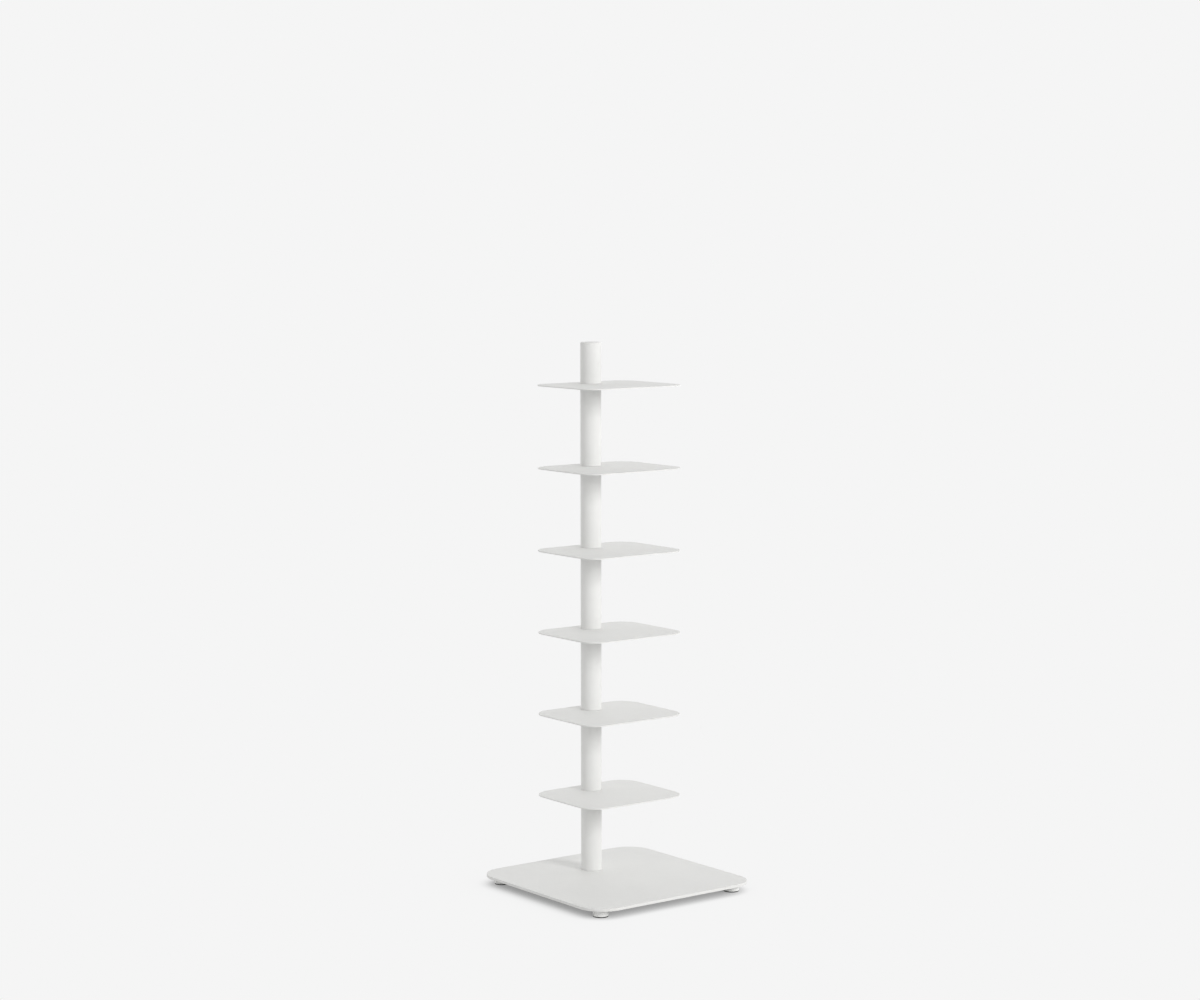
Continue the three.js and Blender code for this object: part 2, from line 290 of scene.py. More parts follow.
def eased(corners, steps=5):
    """A closed section with its corners rounded: each corner is (across, up, radius).
    An arc that turns by t starts radius * tan(t / 2) before the corner and ends as far after it. Beside each
    end is a support point, where the flat has room for one. Returns the points and, for each, 1 on an arc
    and 0 off it."""
    points, edge = [], []
    count = len(corners)
    for k in range(count):
        here = np.array(corners[k][:2], float)
        back = np.array(corners[k - 1][:2], float) - here
        ahead = np.array(corners[(k + 1) % count][:2], float) - here
        radius = corners[k][2]
        if radius <= 0 or not back.any() or not ahead.any():
            points.append(here)
            edge.append(0.0)
            continue
        back_length, ahead_length = np.linalg.norm(back), np.linalg.norm(ahead)
        back, ahead = back / back_length, ahead / ahead_length
        turn = math.pi - math.acos(float(np.clip(back @ ahead, -1, 1)))
        run = radius * math.tan(turn / 2)
        middle = here + (back + ahead) / np.linalg.norm(back + ahead) * radius / math.cos(turn / 2)
        start, end = here + back * run - middle, here + ahead * run - middle
        if run + SUPPORT < back_length / 2:
            points.append(here + back * (run + SUPPORT))
            edge.append(0.0)
        for step in range(steps + 1):
            share = step / steps
            mix = math.sin((1 - share) * turn) * start + math.sin(share * turn) * end
            points.append(middle + mix / math.sin(turn))
            edge.append(1.0)
        if run + SUPPORT < ahead_length / 2:
            points.append(here + ahead * (run + SUPPORT))
            edge.append(0.0)
    return np.array(points), np.array(edge)


def turned(name, corners, centre, steps=96, arc_steps=5):
    """A turned piece: an eased section (radius, height) carried round an upright axis.
    Point (i, j) lies at radius r_i and angle 2 pi j / steps round the centre, at height z_i."""
    section, edge = eased(corners, arc_steps)
    return revolve(name, section[:, :1], section[:, 1:], edge, centre, steps)


def revolve(name, radius, height, edge, centre, steps):
    """Radius and height, arrays of rows by one or by steps, carried round the upright axis through centre."""
    angle = np.arange(steps) * (2 * math.pi / steps)
    radius = np.broadcast_to(radius, (len(radius), steps))
    height = np.broadcast_to(height, (len(height), steps))
    points = np.stack(
        [centre[0] + radius * np.cos(angle), centre[1] + radius * np.sin(angle), centre[2] + height], axis=-1
    )
    return mesh_from_grid(name, points, edge)


def rounded_outline(width, depth, corner, centre, inset, arc_steps):
    """A rounded rectangle's outline, drawn in by inset: the point whose outward normal has angle a lies at
    the corner's centre plus (corner - inset) times (cos a, sin a), and a runs once round in four quarters."""
    quarter = np.arange(arc_steps + 1) * (math.pi / 2 / arc_steps)
    angle = np.concatenate([quarter + k * math.pi / 2 for k in range(4)])
    side_x = np.repeat([1, -1, -1, 1], arc_steps + 1)
    side_y = np.repeat([1, 1, -1, -1], arc_steps + 1)
    x = centre[0] + side_x * (width / 2 - corner) + (corner - inset) * np.cos(angle)
    y = centre[1] + side_y * (depth / 2 - corner) + (corner - inset) * np.sin(angle)
    return np.stack([x, y], axis=-1)


def plate(name, box, corner, edge_radius, hole, hole_centre, arc_steps=20):
    """A flat plate with rounded corners and edges and a square hole. Its section runs up the hole's wall,
    over the top, round the outer edge and back below, as rows (share, inset, height, edge). A point lies at
    hole * (1 - share) + outline * share, and inset draws in the outline, or the hole's where share is 0."""
    low, high = box
    thickness = high[2] - low[2]
    turn = np.linspace(0, math.pi / 2, EDGE_POINTS)
    top_inset = edge_radius * (1 - np.sin(turn))
    top_height = thickness - edge_radius * (1 - np.cos(turn))
    inner = edge_radius + SUPPORT
    half_way = 0.5
    rows = [(0, 0, 0, 0), (0, 0, SUPPORT, 0), (0, 0, thickness - SUPPORT, 0), (0, 0, thickness, 0)]
    rows += [(0, -SUPPORT, thickness, 0), (half_way, inner, thickness, 0), (1, inner, thickness, 0)]
    rows += [(1, inset, height, 1) for inset, height in zip(top_inset, top_height)]
    rows += [(1, inset, thickness - height, 1) for inset, height in zip(top_inset[::-1], top_height[::-1])]
    rows += [(1, inner, 0, 0), (half_way, inner, 0, 0), (0, -SUPPORT, 0, 0)]
    centre = ((low[0] + high[0]) / 2, (low[1] + high[1]) / 2)
    width, depth = high[0] - low[0], high[1] - low[1]
    grid = []
    for share, inset, height, _ in rows:
        hole_inset = inset if share == 0 else 0
        near = rounded_outline(hole, hole, KEY_CORNER, hole_centre, hole_inset, arc_steps)
        far = rounded_outline(width, depth, corner, centre, inset if share else 0, arc_steps)
        flat = near * (1 - share) + far * share
        grid.append(np.column_stack([flat, np.full(len(flat), low[2] + height)]))
    return mesh_from_grid(name, np.array(grid), [row[3] for row in rows])


def threaded(name, head, radius, pitch, tip, centre, socket=0.0, flip=1, steps=48):
    """A headed bolt or stud along z. head is a section of points (radius, height) that ends where the shank
    starts, and their edge values. On the shank the point at height z and angle a lies at radius minus the
    thread's depth times a triangle wave of z / pitch - a / (2 pi). The wave fades in from the full radius
    over the first pitch, and out to the root over the last. The section's first points, up to the one where
    it leaves the height that it starts at, make the socket. They lie on hexagons, no further out than
    socket / cos(angle to the nearest flat's middle). flip -1 turns the piece upside down."""
    section, edge = head
    start = section[-1, 1]
    rows = int((tip - start) / (pitch / THREAD_ROWS))
    height = np.linspace(start, tip, rows)[:, None]
    angle = np.arange(steps) * (2 * math.pi / steps)
    wave = np.abs(((height / pitch - flip * angle / (2 * math.pi)) % 1) * 2 - 1)
    fade = np.clip(np.minimum(height - start, tip - height) / pitch, 0, 1)
    depth = THREAD_DEPTH_SHARE * pitch
    shank = radius - depth * (wave * fade + (1 - fade) * (tip - height < pitch))
    upper_radius = np.broadcast_to(section[:, :1], (len(section), steps)).copy()
    if socket:
        inside = np.zeros(len(section), bool)
        inside[: int(np.argmax(section[:, 1] < section[0, 1] - HEIGHT_STEP)) + 1] = True
        hexagon = 1 / np.cos((angle % (math.pi / 3)) - math.pi / 6)
        upper_radius[inside] = np.minimum(section[inside, :1], socket) * hexagon
    grid_radius = np.vstack([upper_radius, shank, np.zeros((1, steps))])
    grid_height = np.concatenate([section[:, 1], height[:, 0], [tip]])[:, None] * flip
    grid_edge = np.concatenate([edge, np.zeros(rows + 1)])
    return revolve(name, grid_radius, grid_height, grid_edge, centre, steps)


# Placing


def add_piece(mesh, body, slot, *nodes):
    """Puts a mesh in the scene on its body, with its slot's finish, in place of the nodes it stands for."""
    piece = bpy.data.objects.new(mesh.name, mesh)
    bpy.context.scene.collection.objects.link(piece)
    mesh.materials.append(finish_of(slot))
    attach(piece, body)
    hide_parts(*nodes)


def dress(node, slot):
    """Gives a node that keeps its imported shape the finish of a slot."""
    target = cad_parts[node]
    target.data.materials.clear()
    target.data.materials.append(finish_of(slot))


def axis_of(node):
    """The middle of a node's box in x and y, and its lowest height."""
    low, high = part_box(node)
    return (low[0] + high[0]) / 2, (low[1] + high[1]) / 2, low[2]


# Finishes


class Finish:
    """A principled material and short calls that add the textures behind it."""

    def __init__(self, name):
        """Starts with a bare principled shader and the object's own coordinates."""
        self.material = bpy.data.materials.new(name)
        self.material.use_nodes = True
        self.tree = self.material.node_tree
        self.shader = self.tree.nodes["Principled BSDF"]
        self.place = self.tree.nodes.new("ShaderNodeTexCoord").outputs["Object"]

    def node(self, kind, **values):
        """A new node: each value sets the property of its name or, with _ for a space, the input."""
        made = self.tree.nodes.new(kind)
        for name, value in values.items():
            if hasattr(made, name):
                setattr(made, name, value)
            else:
                socket = made.inputs[name.replace("_", " ")]
                if isinstance(value, bpy.types.NodeSocket):
                    self.tree.links.new(value, socket)
                else:
                    socket.default_value = value
        return made

    def link(self, output, socket):
        """Joins an output to the shader's input of that name."""
        self.tree.links.new(output, self.shader.inputs[socket])

    def set(self, **values):
        """Sets numbers on the shader's inputs, with _ for a space in a name."""
        for name, value in values.items():
            self.shader.inputs[name.replace("_", " ")].default_value = value

    def stretched(self, scale):
        """The object's coordinates, stretched."""
        mapping = self.node("ShaderNodeMapping", Vector=self.place)
        mapping.inputs["Scale"].default_value = scale
        return mapping.outputs["Vector"]

    def noise(self, size, detail=2, roughness=0.5, vector=None):
        """Soft noise whose features are about size metres across."""
        source = self.place if vector is None else vector
        made = self.node(
            "ShaderNodeTexNoise", Vector=source, Scale=1 / size, Detail=detail, Roughness=roughness
        )
        return made.outputs["Fac"]

    def ramp(self, value, low, high, start=0.3, end=0.7):
        """Value between start and end, mapped to low and high."""
        made = self.node("ShaderNodeMapRange", Value=value)
        made.inputs["From Min"].default_value = start
        made.inputs["From Max"].default_value = end
        made.inputs["To Min"].default_value = low
        made.inputs["To Max"].default_value = high
        return made.outputs["Result"]

    def math(self, operation, a, b):
        """One step of arithmetic on two values, each an output or a number."""
        made = self.node("ShaderNodeMath", operation=operation)
        for socket, value in zip(made.inputs, (a, b)):
            if isinstance(value, bpy.types.NodeSocket):
                self.tree.links.new(value, socket)
            else:
                socket.default_value = value
        return made.outputs[0]

    def tint(self, factor, first, second):
        """A mix of two colours."""
        made = self.tree.nodes.new("ShaderNodeMix")
        made.data_type = "RGBA"
        self.tree.links.new(factor, made.inputs["Factor"])
        for socket, value in ((made.inputs["A"], first), (made.inputs["B"], second)):
            if isinstance(value, bpy.types.NodeSocket):
                self.tree.links.new(value, socket)
            else:
                socket.default_value = (*value, 1)
        return made.outputs["Result"]

    def bump(self, *layers):
        """Bumps laid over each other: each is a height between 0 and 1, its depth in metres and strength."""
        normal = None
        for height, depth, strength in layers:
            made = self.node("ShaderNodeBump", Height=height, Distance=depth, Strength=strength)
            if normal is not None:
                self.tree.links.new(normal, made.inputs["Normal"])
            normal = made.outputs["Normal"]
        self.link(normal, "Normal")


def scaled(rgb, factor):
    """A colour made lighter or darker."""
    return tuple(min(1.0, channel * factor) for channel in rgb)


def coat_finish(settings):
    """Satin powder coat: fine orange peel, broad waves, faint mottling and specks, and thinner on edges."""
    finish = Finish("White_Powder_Coat")
    base = tuple(settings.coat)
    broad = finish.ramp(finish.noise(90 * MM, detail=3), low=0, high=1)
    cloud = finish.tint(broad, scaled(base, 0.985), scaled(base, 1.012))
    specks = finish.ramp(finish.noise(0.5 * MM, detail=1), low=0, high=1, start=0.64, end=0.78)
    specked = finish.tint(finish.math("MULTIPLY", specks, 0.5), cloud, scaled(base, 0.88))
    edge = finish.node("ShaderNodeAttribute", attribute_name="edge").outputs["Fac"]
    patches = finish.ramp(finish.noise(7 * MM, detail=3), low=0, high=0.5, start=0.42, end=0.66)
    worn = finish.math("MULTIPLY", edge, patches)
    warm = (base[0] * 0.99, base[1] * 0.98, base[2] * 0.955)
    finish.link(finish.tint(worn, specked, warm), "Base Color")
    rub = finish.ramp(finish.noise(12 * MM, detail=4, roughness=0.6), low=0.5, high=0.6)
    finish.link(rub, "Roughness")
    finish.set(IOR=1.5, Specular_IOR_Level=0.35, Metallic=0)
    peel = finish.noise(settings.peel, detail=2, roughness=0.55)
    wave = finish.noise(14 * MM, detail=1)
    finish.bump((wave, 0.05 * MM, 0.3), (peel, 0.2 * MM, 0.5))
    return finish.material


def plastic_finish(settings):
    """Moulded plastic: a smooth satin skin with faint flow marks and fine grain."""
    finish = Finish("White_Moulded_Plastic")
    base = tuple(settings.plastic)
    flow = finish.ramp(finish.noise(6 * MM, vector=finish.stretched((1, 1, 3))), low=0, high=1)
    finish.link(finish.tint(flow, scaled(base, 0.975), scaled(base, 1.01)), "Base Color")
    finish.link(finish.ramp(finish.noise(2 * MM, detail=3), low=0.34, high=0.44), "Roughness")
    finish.set(IOR=1.49, Metallic=0)
    grain = finish.noise(0.35 * MM, detail=1)
    finish.bump((grain, 0.012 * MM, 0.4), (flow, 0.02 * MM, 0.25))
    return finish.material


def plated_finish(settings):
    """Bright zinc plate: cloudy passivation and fine turning marks."""
    finish = Finish("Bright_Zinc_Plate")
    base = tuple(settings.zinc)
    cloud = finish.ramp(finish.noise(4 * MM, detail=3, roughness=0.6), low=0, high=1)
    blue = (base[0] * 0.93, base[1] * 0.98, base[2] * 1.05)
    straw = (base[0] * 1.06, base[1] * 1.03, base[2] * 0.95)
    finish.link(finish.tint(cloud, blue, straw), "Base Color")
    finish.link(finish.ramp(finish.noise(1.2 * MM, detail=3), low=0.26, high=0.42), "Roughness")
    finish.set(Metallic=1)
    marks = finish.noise(0.5 * MM, vector=finish.stretched((1, 1, 0.2)))
    finish.bump((marks, 0.01 * MM, 0.4))
    return finish.material


def steel_finish(settings):
    """Plain drawn steel: long die lines up the column, patches of scale and a dull bloom."""
    finish = Finish("Plain_Drawn_Steel")
    base = tuple(settings.steel)
    lines = finish.noise(0.6 * MM, detail=3, roughness=0.6, vector=finish.stretched((1, 1, 0.02)))
    blotches = finish.noise(11 * MM, detail=4, roughness=0.65)
    patches = finish.ramp(blotches, low=0, high=1, start=0.45, end=0.62)
    bright = finish.tint(finish.ramp(lines, low=0, high=1), scaled(base, 0.85), scaled(base, 1.15))
    scale = (base[0] * 0.62, base[1] * 0.6, base[2] * 0.6)
    finish.link(finish.tint(patches, bright, scale), "Base Color")
    finish.link(finish.ramp(patches, low=0.38, high=0.6, start=0, end=1), "Roughness")
    finish.set(Metallic=1)
    finish.bump((lines, 0.015 * MM, 0.4))
    return finish.material


def rubber_finish(settings):
    """Matt rubber: fine grain and a trace of floor dust."""
    finish = Finish("Black_Rubber")
    base = tuple(settings.rubber)
    film = finish.noise(3 * MM, detail=4, roughness=0.65)
    dust = finish.ramp(film, low=0, high=0.5, start=0.5, end=0.75)
    dust_colour = (0.06, 0.058, 0.054)
    finish.link(finish.tint(dust, base, dust_colour), "Base Color")
    finish.link(finish.ramp(finish.noise(1.5 * MM), low=0.68, high=0.85), "Roughness")
    finish.set(IOR=1.52, Metallic=0)
    grain = finish.noise(0.3 * MM, roughness=0.6)
    finish.bump((grain, 0.03 * MM, 0.6))
    return finish.material


FINISHES = {
    "white_coat": coat_finish,
    "white_plastic": plastic_finish,
    "zinc_steel": plated_finish,
    "bare_steel": steel_finish,
    "black_rubber": rubber_finish,
}


def finish_of(slot):
    """The material of a slot, made when it is first asked for."""
    made = next((m for m in bpy.data.materials if m.get("slot") == slot), None)
    if made is None:
        made = FINISHES[slot](bpy.context.scene.bookshelf.finishes)
        made["slot"] = slot
    return made


# Pieces


class BOOKSHELF_OT_base_plate(bpy.types.Operator):
    """Make the base plate"""

    bl_idname = "bookshelf.base_plate"
    bl_label = "Base plate"

    def execute(self, context):
        sizes = context.scene.bookshelf.plates
        post = axis_of("post_sleeve_1")
        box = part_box("base_plate")
        mesh = plate(
            "coated_base_plate", box, sizes.base_corner, sizes.base_edge, sizes.base_hole, post
        )
        add_piece(mesh, "shelf", "white_coat", "base_plate")
        return {"FINISHED"}


class BOOKSHELF_OT_trays(bpy.types.Operator):
    """Make the trays"""

    bl_idname = "bookshelf.trays"
    bl_label = "Trays"

    def execute(self, context):
        sizes = context.scene.bookshelf.plates
        post = axis_of("post_sleeve_1")
        for level in range(1, TRAY_COUNT + 1):
            node = f"tray_{level}"
            mesh = plate(
                f"coated_{node}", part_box(node), sizes.tray_corner, sizes.tray_edge, sizes.tray_hole, post
            )
            add_piece(mesh, "shelf", "white_coat", node)
        return {"FINISHED"}


class BOOKSHELF_OT_post(bpy.types.Operator):
    """Make the post's sleeves and its cap"""

    bl_idname = "bookshelf.post"
    bl_label = "Post"

    def execute(self, context):
        sizes = context.scene.bookshelf.post
        outer = SLEEVE_SIZE[0] / 2
        bore = outer - sizes.wall
        names = [f"post_sleeve_{level}" for level in range(1, TRAY_COUNT + 1)] + ["post_sleeve_top"]
        fine = sizes.seam / 2
        for node in names:
            rise = node_size(node)[2]
            corners = [(bore, 0, fine), (outer, 0, sizes.seam), (outer, rise, sizes.seam), (bore, rise, fine)]
            mesh = turned(f"coated_{node}", corners, axis_of(node), steps=128)
            add_piece(mesh, "shelf", "white_coat", node)
        plug = bore - sizes.play
        inside = plug - sizes.cap_wall
        top = node_size("top_cap")[2]
        depth = top - sizes.cap_head
        corners = [
            (0, depth, 0),
            (inside, depth, sizes.seam),
            (inside, 0, sizes.seam),
            (plug, 0, sizes.seam),
            (plug, depth, 0),
            (outer, depth, sizes.seam),
            (outer, top, sizes.cap_edge),
            (0, top, 0),
        ]
        mesh = turned("coated_top_cap", corners, axis_of("top_cap"), steps=128, arc_steps=10)
        add_piece(mesh, "shelf", "white_coat", "top_cap")
        return {"FINISHED"}


class BOOKSHELF_OT_column(bpy.types.Operator):
    """Finish the steel column and what is welded in it"""

    bl_idname = "bookshelf.column"
    bl_label = "Column"

    def execute(self, context):
        for node in ("column_tube", "column_foot_block", "column_head_block", "bearing_disc"):
            dress(node, "bare_steel")
        return {"FINISHED"}


class BOOKSHELF_OT_bolts(bpy.types.Operator):
    """Make the bolt and washer under the base plate and those under the cap"""

    bl_idname = "bookshelf.bolts"
    bl_label = "Bolts and washers"

    def execute(self, context):
        ease, fine = 0.4 * MM, 0.2 * MM
        for node, bolt in (("base_washer", "base_bolt"), ("clamp_washer", "clamp_bolt")):
            width, _, rise = node_size(node)
            radius, hole = width / 2, thread_diameter(bolt) / 2 + SLIP
            corners = [(hole, 0, fine), (radius, 0, ease), (radius, rise, ease), (hole, rise, fine)]
            mesh = turned(f"plated_{node}", corners, axis_of(node))
            add_piece(mesh, "shelf", "zinc_steel", node)
        add_bolt("base_bolt", M10_PITCH, 1)
        add_bolt("clamp_bolt", M8_PITCH, -1)
        return {"FINISHED"}


def thread_diameter(bolt):
    """The diameter of a button-head bolt's thread, from the width of its head."""
    return node_size(bolt)[0] / HEAD_WIDTH_SHARE


def add_bolt(node, pitch, flip):
    """A button-head bolt with a hexagonal socket. Its head's dome is a quarter of an ellipse, from the
    socket's rim to the head's widest place."""
    low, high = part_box(node)
    diameter = thread_diameter(node)
    head_radius, head = (high[0] - low[0]) / 2, HEAD_HEIGHT_SHARE * diameter
    reach = SOCKET_REACH_SHARE * diameter
    depth = SOCKET_DEPTH_SHARE * diameter
    rim = SOCKET_RIM_SHARE * reach
    rim_drop = 0.3 * MM
    turn = np.linspace(0, 1, DOME_POINTS)[1:] * math.pi / 2
    dome_radius = rim + (head_radius - rim) * np.sin(turn)
    dome_height = DOME_SHARE * head * (1 - np.cos(turn))
    section = [(0, depth), (SOCKET_FLOOR_SHARE * reach, depth), (reach, depth), (reach, rim_drop), (rim, 0)]
    section += list(zip(dome_radius, dome_height))
    section += [(head_radius, head), (diameter / 2 + SUPPORT, head), (diameter / 2, head + SUPPORT)]
    head_section = (np.array(section), np.zeros(len(section)))
    centre = ((low[0] + high[0]) / 2, (low[1] + high[1]) / 2, low[2] if flip > 0 else high[2])
    mesh = threaded(
        f"plated_{node}", head_section, diameter / 2, pitch, high[2] - low[2], centre, reach, flip
    )
    add_piece(mesh, "shelf", "zinc_steel", node)


class BOOKSHELF_OT_feet(bpy.types.Operator):
    """Make the levelling feet"""

    bl_idname = "bookshelf.feet"
    bl_label = "Levelling feet"

    def execute(self, context):
        sizes = context.scene.bookshelf.feet
        for corner in CORNERS:
            add_boss(corner, sizes)
            add_cup(corner, sizes)
            add_stud(corner, sizes)
            add_sole(corner, sizes)
        return {"FINISHED"}


def add_boss(corner, sizes):
    """The threaded boss under the plate: a ring with a rounded lower edge."""
    node = f"foot_boss_{corner}"
    radius, rise = BOSS_SIZE[0] / 2, BOSS_SIZE[2]
    hole = sizes.stud / 2 + SLIP
    lead_in, lower, upper = 0.5 * MM, 0.8 * MM, 0.15 * MM
    corners = [(hole, 0, lead_in), (radius, 0, lower), (radius, rise, upper), (hole, rise, upper)]
    mesh = turned(f"coated_{node}", corners, axis_of(node), steps=64)
    add_piece(mesh, "shelf", "white_coat", node)


def add_cup(corner, sizes):
    """The cup: outer wall, pocket above, recess below and the web's hole between them."""
    node = f"foot_cup_{corner}"
    radius, rise = CUP_SIZE[0] / 2, CUP_SIZE[2]
    recess, pocket = sizes.flange / 2 + SLIP, sizes.pocket / 2
    hole = sizes.stud / 2 + SLIP
    floor = sizes.flange_height + sizes.web
    fine = 0.2 * MM
    corners = [
        (recess, 0, fine),
        (radius, 0, sizes.cup_foot),
        (radius, rise, sizes.cup_edge),
        (pocket, rise, 2 * fine),
        (pocket, floor, fine),
        (hole, floor, fine),
        (hole, sizes.flange_height, fine),
        (recess, sizes.flange_height, fine),
    ]
    mesh = turned(f"moulded_{node}", corners, axis_of(node))
    add_piece(mesh, f"screw_{corner}", "white_plastic", node)


def add_stud(corner, sizes):
    """The threaded stud on its flange, with the round recess for the sole's hub below."""
    node = f"foot_stud_{corner}"
    low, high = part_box(node)
    hub, flange = sizes.hub / 2 + SLIP, sizes.flange / 2
    fine = 0.2 * MM
    corners = [
        (0, sizes.hub_height, 0),
        (hub, sizes.hub_height, fine),
        (hub, 0, fine),
        (flange, 0, fine),
        (flange, sizes.flange_height, fine),
        (sizes.stud / 2, sizes.flange_height, 0),
    ]
    mesh = threaded(
        f"plated_{node}", eased(corners), sizes.stud / 2, sizes.pitch, high[2] - low[2], axis_of(node)
    )
    add_piece(mesh, f"screw_{corner}", "zinc_steel", node)


def add_sole(corner, sizes):
    """The sole: a disc with rings of grooves below and, above, the hub that the screw turns on. Groove k,
    from 0, runs from 2 k + near_share to 2 k + far_share lands from the axis."""
    node = f"foot_sole_{corner}"
    radius, rise = SOLE_SIZE[0] / 2, SOLE_SIZE[2]
    thickness = rise - sizes.hub_height
    fine = 0.15 * MM
    land = radius / (2 * sizes.groove_count + 2)
    near_share, far_share = 1.5, 2.2
    corners = [(0, 0, 0)]
    for ring in range(sizes.groove_count):
        near, far = land * (2 * ring + near_share), land * (2 * ring + far_share)
        corners += [
            (near, 0, fine),
            (near, sizes.groove, fine),
            (far, sizes.groove, fine),
            (far, 0, fine),
        ]
    corners += [
        (radius, 0, 2 * fine),
        (radius, thickness, 2 * fine),
        (sizes.hub / 2, thickness, fine),
        (sizes.hub / 2, rise, fine),
        (0, rise, 0),
    ]
    mesh = turned(f"rubber_{node}", corners, axis_of(node), arc_steps=3)
    add_piece(mesh, f"sole_{corner}", "black_rubber", node)


# Stage


class BOOKSHELF_OT_stage(bpy.types.Operator):
    """Set up the floor, the light and the camera"""

    bl_idname = "bookshelf.stage"
    bl_label = "Stage"

    def execute(self, context):
        settings = context.scene.bookshelf.stage
        add_floor(settings)
        add_world(settings)
        add_lamp(settings)
        add_camera(settings)
        context.scene.view_settings.view_transform = "Standard"
        return {"FINISHED"}


def seen_directly(tree):
    """1 for a camera, glossy or transmission ray, and 0 for the rays that light the object."""
    path = tree.nodes.new("ShaderNodeLightPath")
    total = path.outputs["Is Camera Ray"]
    for name in ("Is Glossy Ray", "Is Transmission Ray"):
        adder = tree.nodes.new("ShaderNodeMath")
        adder.operation = "MAXIMUM"
        tree.links.new(total, adder.inputs[0])
        tree.links.new(path.outputs[name], adder.inputs[1])
        total = adder.outputs[0]
    return total


def set_stops(ramp, stops):
    """Gives a ramp its stops, pairs of position and grey level."""
    while len(ramp.elements) < len(stops):
        ramp.elements.new(1)
    for stop, (position, level) in zip(ramp.elements, stops):
        stop.position = position
        stop.color = (level, level, level, 1)


def add_floor(settings):
    """A broad pale floor. It shows the background's colour, darker where the object keeps light off it."""
    corners = [(x * FLOOR_REACH, y * FLOOR_REACH, 0) for x, y in ((-1, -1), (1, -1), (1, 1), (-1, 1))]
    mesh = bpy.data.meshes.new("floor")
    mesh.from_pydata(corners, [], [(0, 1, 2, 3)])
    floor = bpy.data.objects.new("floor", mesh)
    bpy.context.scene.collection.objects.link(floor)
    material = bpy.data.materials.new("Pale_Floor")
    material.use_nodes = True
    tree = material.node_tree
    shader = tree.nodes["Principled BSDF"]
    shader.inputs["Base Color"].default_value = (FLOOR_GREY, FLOOR_GREY, FLOOR_GREY, 1)
    shader.inputs["Roughness"].default_value = FLOOR_ROUGHNESS
    side = settings.bearing - settings.lamp_bearing
    tilt = tree.nodes.new("ShaderNodeCombineXYZ")
    tilt.inputs["X"].default_value = -settings.shade_tilt * math.sin(side)
    tilt.inputs["Y"].default_value = -settings.shade_tilt * math.cos(side)
    tilt.inputs["Z"].default_value = 1
    turned_to = tree.nodes.new("ShaderNodeVectorMath")
    turned_to.operation = "NORMALIZE"
    tree.links.new(tilt.outputs[0], turned_to.inputs[0])
    shade = tree.nodes.new("ShaderNodeAmbientOcclusion")
    shade.samples = FLOOR_SAMPLES
    shade.inputs["Distance"].default_value = settings.shade_reach
    tree.links.new(turned_to.outputs[0], shade.inputs["Normal"])
    shown = tree.nodes.new("ShaderNodeValToRGB")
    tree.links.new(shade.outputs["AO"], shown.inputs["Fac"])
    set_stops(shown.color_ramp, FLOOR_SHADE)
    glow = tree.nodes.new("ShaderNodeEmission")
    glow.inputs["Color"].default_value = (*settings.background, 1)
    tree.links.new(shown.outputs["Color"], glow.inputs["Strength"])
    mix = tree.nodes.new("ShaderNodeMixShader")
    tree.links.new(seen_directly(tree), mix.inputs["Fac"])
    tree.links.new(shader.outputs[0], mix.inputs[1])
    tree.links.new(glow.outputs[0], mix.inputs[2])
    tree.links.new(mix.outputs[0], tree.nodes["Material Output"].inputs["Surface"])
    mesh.materials.append(material)


def sky_bands(tree, height, low, middle, high):
    """Strength by height above the horizon: low, middle and high at SKY_HEIGHTS, and straight between."""
    bands = tree.nodes.new("ShaderNodeValToRGB")
    tree.links.new(height, bands.inputs["Fac"])
    set_stops(bands.color_ramp, tuple(zip(SKY_HEIGHTS, (low, middle, high))))
    return bands.outputs["Color"]


def add_world(settings):
    """Soft light from all round, with its own strengths in front of and behind the object, and the
    background's colour where it is seen."""
    world = bpy.data.worlds.new("Studio")
    bpy.context.scene.world = world
    world.use_nodes = True
    tree = world.node_tree
    direction = tree.nodes.new("ShaderNodeTexCoord").outputs["Generated"]
    split = tree.nodes.new("ShaderNodeSeparateXYZ")
    tree.links.new(direction, split.inputs[0])
    front = sky_bands(tree, split.outputs["Z"], settings.front_low, settings.front_middle, settings.overhead)
    back = sky_bands(tree, split.outputs["Z"], settings.back_low, settings.back_middle, settings.overhead)
    side = tree.nodes.new("ShaderNodeVectorMath")
    side.operation = "DOT_PRODUCT"
    side.inputs[1].default_value = (math.sin(settings.bearing), math.cos(settings.bearing), 0)
    tree.links.new(direction, side.inputs[0])
    behind = tree.nodes.new("ShaderNodeMapRange")
    behind.inputs["From Min"].default_value = -SKY_BLEND
    behind.inputs["From Max"].default_value = SKY_BLEND
    tree.links.new(side.outputs["Value"], behind.inputs["Value"])
    sky = tree.nodes.new("ShaderNodeMix")
    sky.data_type = "RGBA"
    tree.links.new(behind.outputs["Result"], sky.inputs["Factor"])
    tree.links.new(front, sky.inputs["A"])
    tree.links.new(back, sky.inputs["B"])
    light = tree.nodes["Background"]
    tree.links.new(sky.outputs["Result"], light.inputs["Color"])
    shown = tree.nodes.new("ShaderNodeBackground")
    shown.inputs["Color"].default_value = (*settings.background, 1)
    mix = tree.nodes.new("ShaderNodeMixShader")
    tree.links.new(seen_directly(tree), mix.inputs["Fac"])
    tree.links.new(light.outputs[0], mix.inputs[1])
    tree.links.new(shown.outputs[0], mix.inputs[2])
    tree.links.new(mix.outputs[0], tree.nodes["World Output"].inputs["Surface"])


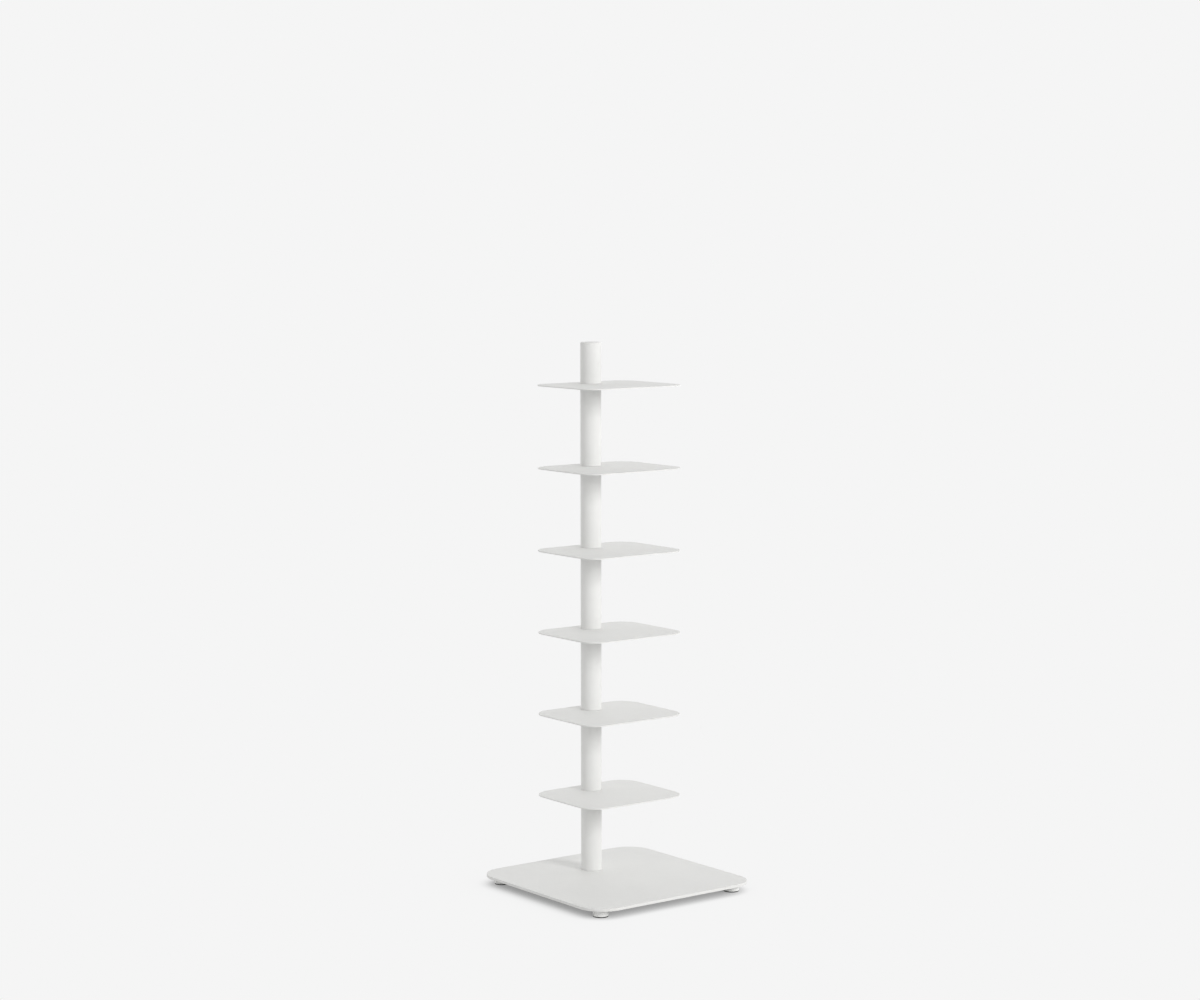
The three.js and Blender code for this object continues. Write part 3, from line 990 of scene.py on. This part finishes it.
def add_lamp(settings):
    """One large soft lamp, aimed half way up the post. No surface mirrors it, so none has a glare spot."""
    post = axis_of("post_sleeve_1")
    side = settings.bearing - settings.lamp_bearing
    place = Vector((
        post[0] - math.sin(side) * settings.lamp_distance,
        post[1] - math.cos(side) * settings.lamp_distance,
        settings.lamp_height,
    ))
    data = bpy.data.lights.new("soft_lamp", "AREA")
    data.shape = "SQUARE"
    data.size = settings.lamp_width
    data.energy = settings.lamp_power
    lamp = bpy.data.objects.new("soft_lamp", data)
    bpy.context.scene.collection.objects.link(lamp)
    lamp.location = place
    lamp.visible_glossy = False
    aim = Vector((post[0], post[1], CAD_BOX[1][2] / 2)) - place
    lamp.rotation_euler = aim.to_track_quat("-Z", "Y").to_euler()


def add_camera(settings):
    """The camera at the photograph's place: distance back along its bearing, and offset to its right."""
    post = axis_of("post_sleeve_1")
    sine, cosine = math.sin(settings.bearing), math.cos(settings.bearing)
    data = bpy.data.cameras.new("camera")
    data.sensor_fit = "HORIZONTAL"
    data.sensor_width = SENSOR_WIDTH
    data.lens = settings.lens
    data.clip_end = CAMERA_SIGHT
    camera = bpy.data.objects.new("camera", data)
    bpy.context.scene.collection.objects.link(camera)
    camera.location = (
        post[0] + settings.offset * cosine - settings.distance * sine,
        post[1] - settings.offset * sine - settings.distance * cosine,
        post[2] + settings.height,
    )
    aim = Euler((math.pi / 2 - settings.pitch, 0, -settings.bearing)).to_matrix()
    camera.rotation_euler = (aim @ Matrix.Rotation(settings.roll, 3, "Z")).to_euler()
    bpy.context.scene.camera = camera


class BOOKSHELF_PT_sidebar(bpy.types.Panel):
    """Sizes, colours and steps of the bookshelf"""

    bl_label = "Spine Bookshelf"
    bl_idname = "BOOKSHELF_PT_sidebar"
    bl_space_type = "VIEW_3D"
    bl_region_type = "UI"
    bl_category = "Bookshelf"

    def draw(self, context):
        """Lists each group of settings and then a button for each step."""
        settings = context.scene.bookshelf
        for group in ("plates", "post", "feet", "finishes", "stage"):
            box = self.layout.box()
            box.label(text=group.capitalize())
            values = getattr(settings, group)
            for name in values.__annotations__:
                box.prop(values, name)
        for step in STEPS:
            self.layout.operator(step.bl_idname)


STEPS = (
    BOOKSHELF_OT_base_plate,
    BOOKSHELF_OT_trays,
    BOOKSHELF_OT_post,
    BOOKSHELF_OT_column,
    BOOKSHELF_OT_bolts,
    BOOKSHELF_OT_feet,
    BOOKSHELF_OT_stage,
)
CLASSES = (
    PlateSettings,
    PostSettings,
    FootSettings,
    FinishSettings,
    StageSettings,
    BookshelfSettings,
    *STEPS,
    BOOKSHELF_PT_sidebar,
)


def register():
    """Registers the classes and hangs the settings on the scene."""
    for item in CLASSES:
        bpy.utils.register_class(item)
    bpy.types.Scene.bookshelf = PointerProperty(type=BookshelfSettings)


def unregister():
    """Takes back what register does."""
    del bpy.types.Scene.bookshelf
    for item in reversed(CLASSES):
        bpy.utils.unregister_class(item)


def main():
    """Makes the whole scene."""
    register()
    bpy.ops.bookshelf.base_plate()
    bpy.ops.bookshelf.trays()
    bpy.ops.bookshelf.post()
    bpy.ops.bookshelf.column()
    bpy.ops.bookshelf.bolts()
    bpy.ops.bookshelf.feet()
    bpy.ops.bookshelf.stage()


if __name__ == "__main__":
    main()
